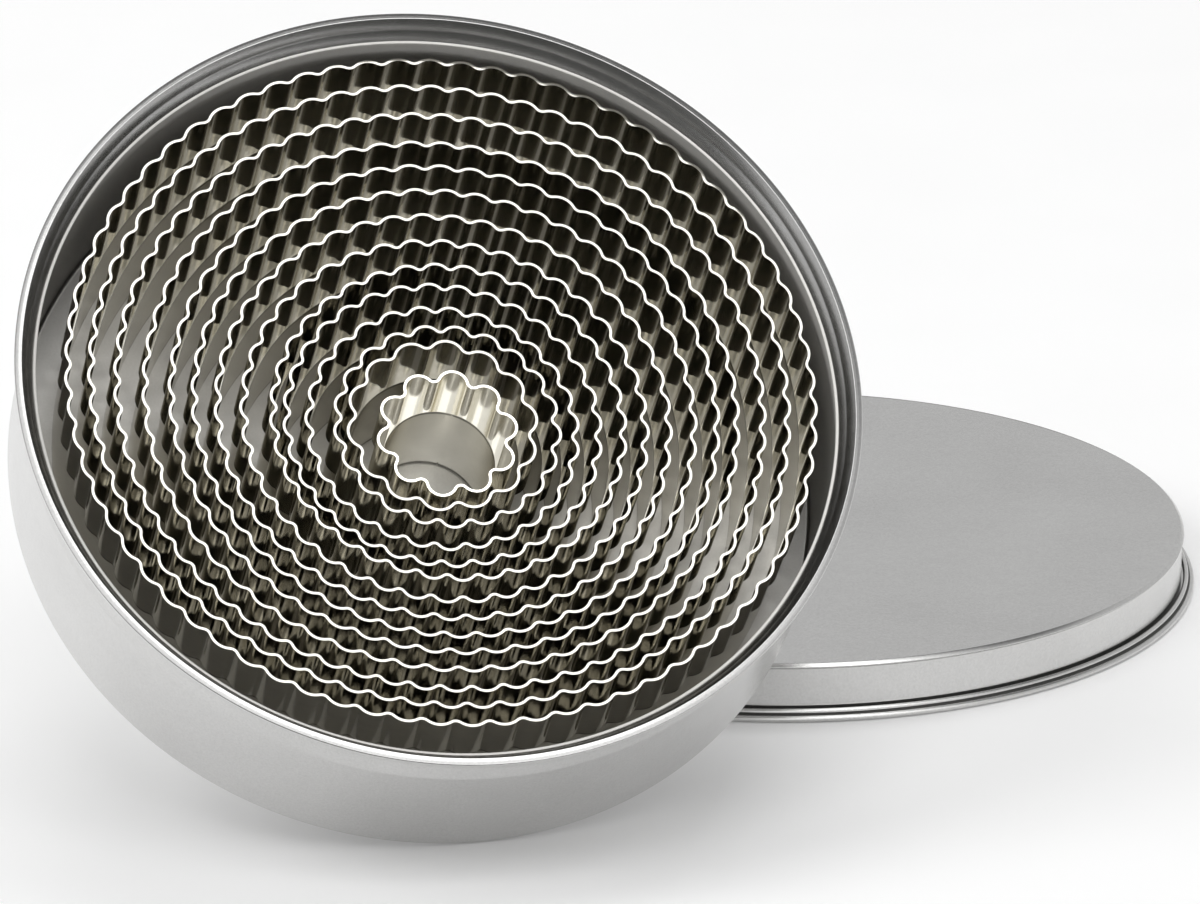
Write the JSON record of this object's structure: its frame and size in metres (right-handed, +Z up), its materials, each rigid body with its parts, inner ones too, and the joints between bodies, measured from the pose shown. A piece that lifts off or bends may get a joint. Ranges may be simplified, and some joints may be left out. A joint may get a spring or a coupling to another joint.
{
  "type": "biscuit cutter set",
  "caption": "Nested set of round biscuit cutters, fluted at one edge and plain at the other, standing in a round metal tin tipped toward the viewer with its lid off beside it.",
  "frame": {"origin": "on the surface that the set stands on, under the middle of its outer box", "axes": "+X to the right in the picture, +Y away from the viewer, +Z up"},
  "size_m": [0.1876, 0.211, 0.1098],
  "materials": {
    "tinplate": "satin tinplate",
    "cutter_steel": "bright rolled steel"
  },
  "bodies": {
    "tin": {"tin_body": "tinplate"},
    "lid": {"lid": "tinplate"},
    "ring_01": {"cutter_01": "cutter_steel"},
    "ring_02": {"cutter_02": "cutter_steel"},
    "ring_03": {"cutter_03": "cutter_steel"},
    "ring_04": {"cutter_04": "cutter_steel"},
    "ring_05": {"cutter_05": "cutter_steel"},
    "ring_06": {"cutter_06": "cutter_steel"},
    "ring_07": {"cutter_07": "cutter_steel"},
    "ring_08": {"cutter_08": "cutter_steel"},
    "ring_09": {"cutter_09": "cutter_steel"},
    "ring_10": {"cutter_10": "cutter_steel"},
    "ring_11": {"cutter_11": "cutter_steel"},
    "ring_12": {"cutter_12": "cutter_steel"},
    "ring_13": {"cutter_13": "cutter_steel"},
    "ring_14": {"cutter_14": "cutter_steel"}
  },
  "joints": [
    {"name": "lid_slide", "type": "slide", "parent": "tin", "child": "lid", "axis": [1, 0, 0], "range_m": [0, 0.09]},
    {"name": "lift_01", "type": "slide", "parent": "tin", "child": "ring_01", "axis": [0.1578, -0.6624, 0.7323], "range_m": [0, 0.04]},
    {"name": "lift_02", "type": "slide", "parent": "tin", "child": "ring_02", "axis": [0.1578, -0.6624, 0.7323], "range_m": [0, 0.04]},
    {"name": "lift_03", "type": "slide", "parent": "tin", "child": "ring_03", "axis": [0.1578, -0.6624, 0.7323], "range_m": [0, 0.04]},
    {"name": "lift_04", "type": "slide", "parent": "tin", "child": "ring_04", "axis": [0.1578, -0.6624, 0.7323], "range_m": [0, 0.04]},
    {"name": "lift_05", "type": "slide", "parent": "tin", "child": "ring_05", "axis": [0.1578, -0.6624, 0.7323], "range_m": [0, 0.04]},
    {"name": "lift_06", "type": "slide", "parent": "tin", "child": "ring_06", "axis": [0.1578, -0.6624, 0.7323], "range_m": [0, 0.04]},
    {"name": "lift_07", "type": "slide", "parent": "tin", "child": "ring_07", "axis": [0.1578, -0.6624, 0.7323], "range_m": [0, 0.04]},
    {"name": "lift_08", "type": "slide", "parent": "tin", "child": "ring_08", "axis": [0.1578, -0.6624, 0.7323], "range_m": [0, 0.04]},
    {"name": "lift_09", "type": "slide", "parent": "tin", "child": "ring_09", "axis": [0.1578, -0.6624, 0.7323], "range_m": [0, 0.04]},
    {"name": "lift_10", "type": "slide", "parent": "tin", "child": "ring_10", "axis": [0.1578, -0.6624, 0.7323], "range_m": [0, 0.04]},
    {"name": "lift_11", "type": "slide", "parent": "tin", "child": "ring_11", "axis": [0.1578, -0.6624, 0.7323], "range_m": [0, 0.04]},
    {"name": "lift_12", "type": "slide", "parent": "tin", "child": "ring_12", "axis": [0.1578, -0.6624, 0.7323], "range_m": [0, 0.04]},
    {"name": "lift_13", "type": "slide", "parent": "tin", "child": "ring_13", "axis": [0.1578, -0.6624, 0.7323], "range_m": [0, 0.04]},
    {"name": "lift_14", "type": "slide", "parent": "tin", "child": "ring_14", "axis": [0.1578, -0.6624, 0.7323], "range_m": [0, 0.04]}
  ]
}
